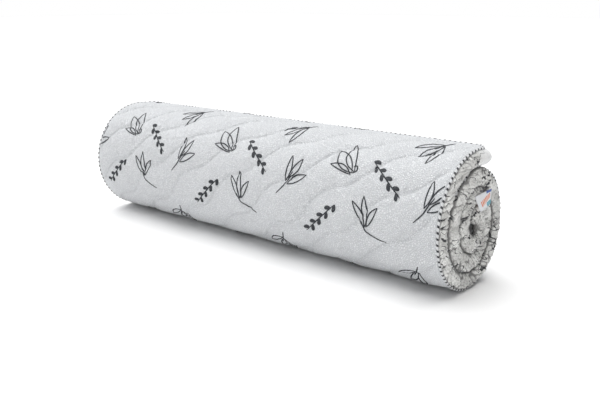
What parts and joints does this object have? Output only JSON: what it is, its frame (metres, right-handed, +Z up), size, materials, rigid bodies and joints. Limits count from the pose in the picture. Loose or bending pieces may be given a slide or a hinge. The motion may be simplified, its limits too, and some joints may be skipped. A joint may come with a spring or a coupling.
{
  "type": "rolled memory foam mattress",
  "caption": "Thin memory foam mattress in a quilted printed cover, rolled up along its length with a free lap that unrolls to the front and a zip across the free end.",
  "frame": {"origin": "floor level, under the middle of the roll", "axes": "+X along the roll towards the end with the label, -Y the side that the free lap unrolls to, +Z up"},
  "size_m": [1.4, 0.3497, 0.3797],
  "materials": {
    "quilted_cover": "matte",
    "border_cloth": "matte",
    "piping": "matte",
    "memory_foam": "matte",
    "support_foam": "matte",
    "label": "satin",
    "zip_tape": "matte",
    "zip_coil": "satin",
    "zip_metal": "satin"
  },
  "bodies": {
    "roll": {"outer_panel_roll": "quilted_cover", "memory_foam_roll": "memory_foam", "support_foam_roll": "support_foam", "inner_panel_roll": "quilted_cover", "left_border_roll": "border_cloth", "right_border_roll": "border_cloth", "left_outer_piping_roll": "piping", "left_inner_piping_roll": "piping", "right_outer_piping_roll": "piping", "right_inner_piping_roll": "piping", "head_piping": "piping", "head_border": "border_cloth", "care_label": "label"},
    "lap_1": {"lap_1_outer_panel": "quilted_cover", "lap_1_memory_foam": "memory_foam", "lap_1_support_foam": "support_foam", "lap_1_inner_panel": "quilted_cover", "lap_1_side_borders": "border_cloth", "lap_1_piping": "piping"},
    "lap_2": {"lap_2_outer_panel": "quilted_cover", "lap_2_memory_foam": "memory_foam", "lap_2_support_foam": "support_foam", "lap_2_inner_panel": "quilted_cover", "lap_2_side_borders": "border_cloth", "lap_2_piping": "piping"},
    "lap_3": {"lap_3_outer_panel": "quilted_cover", "lap_3_memory_foam": "memory_foam", "lap_3_support_foam": "support_foam", "lap_3_inner_panel": "quilted_cover", "lap_3_side_borders": "border_cloth", "lap_3_piping": "piping"},
    "lap_4": {"lap_4_outer_panel": "quilted_cover", "lap_4_memory_foam": "memory_foam", "lap_4_support_foam": "support_foam", "lap_4_inner_panel": "quilted_cover", "lap_4_side_borders": "border_cloth", "lap_4_piping": "piping"},
    "lap_5": {"lap_5_outer_panel": "quilted_cover", "lap_5_memory_foam": "memory_foam", "lap_5_support_foam": "support_foam", "lap_5_inner_panel": "quilted_cover", "lap_5_side_borders": "border_cloth", "lap_5_piping": "piping"},
    "lap_6": {"lap_6_outer_panel": "quilted_cover", "lap_6_memory_foam": "memory_foam", "lap_6_support_foam": "support_foam", "lap_6_inner_panel": "quilted_cover", "lap_6_side_borders": "border_cloth", "lap_6_piping": "piping", "foot_border": "border_cloth", "foot_outer_piping": "piping", "foot_inner_piping": "piping", "zip_tape": "zip_tape", "zip_coil": "zip_coil", "zip_stops": "zip_metal"},
    "slider": {"zip_slider": "zip_metal"},
    "pull": {"zip_pull": "zip_metal"}
  },
  "joints": [
    {"name": "lap_bend_1", "type": "hinge", "parent": "roll", "child": "lap_1", "pos_m": [0, -0.04856, 0.00734], "axis": [1, 0, 0], "range_deg": [0, 35]},
    {"name": "lap_bend_2", "type": "hinge", "parent": "lap_1", "child": "lap_2", "pos_m": [0, -0.12997, 0.06435], "axis": [1, 0, 0], "range_deg": [0, 30]},
    {"name": "lap_bend_3", "type": "hinge", "parent": "lap_2", "child": "lap_3", "pos_m": [0, -0.17197, 0.15442], "axis": [1, 0, 0], "range_deg": [0, 30]},
    {"name": "lap_bend_4", "type": "hinge", "parent": "lap_3", "child": "lap_4", "pos_m": [0, -0.16331, 0.25343], "axis": [1, 0, 0], "range_deg": [0, 30]},
    {"name": "lap_bend_5", "type": "hinge", "parent": "lap_4", "child": "lap_5", "pos_m": [0, -0.1063, 0.33484], "axis": [1, 0, 0], "range_deg": [0, 30]},
    {"name": "lap_bend_6", "type": "hinge", "parent": "lap_5", "child": "lap_6", "pos_m": [0, -0.01623, 0.37684], "axis": [1, 0, 0], "range_deg": [0, 30]},
    {"name": "zip_run", "type": "slide", "parent": "lap_6", "child": "slider", "axis": [-1, 0, 0], "range_m": [0, 1.2872]},
    {"name": "pull_swing", "type": "hinge", "parent": "slider", "child": "pull", "pos_m": [0.6436, 0.08071, 0.34233], "axis": [1, 0, 0], "range_deg": [-10, 140]}
  ],
  "couplings": [
    {"joint": "lap_bend_2", "follows": "lap_bend_1", "ratio": 0.857},
    {"joint": "lap_bend_3", "follows": "lap_bend_1", "ratio": 0.857},
    {"joint": "lap_bend_4", "follows": "lap_bend_1", "ratio": 0.857},
    {"joint": "lap_bend_5", "follows": "lap_bend_1", "ratio": 0.857},
    {"joint": "lap_bend_6", "follows": "lap_bend_1", "ratio": 0.857}
  ]
}
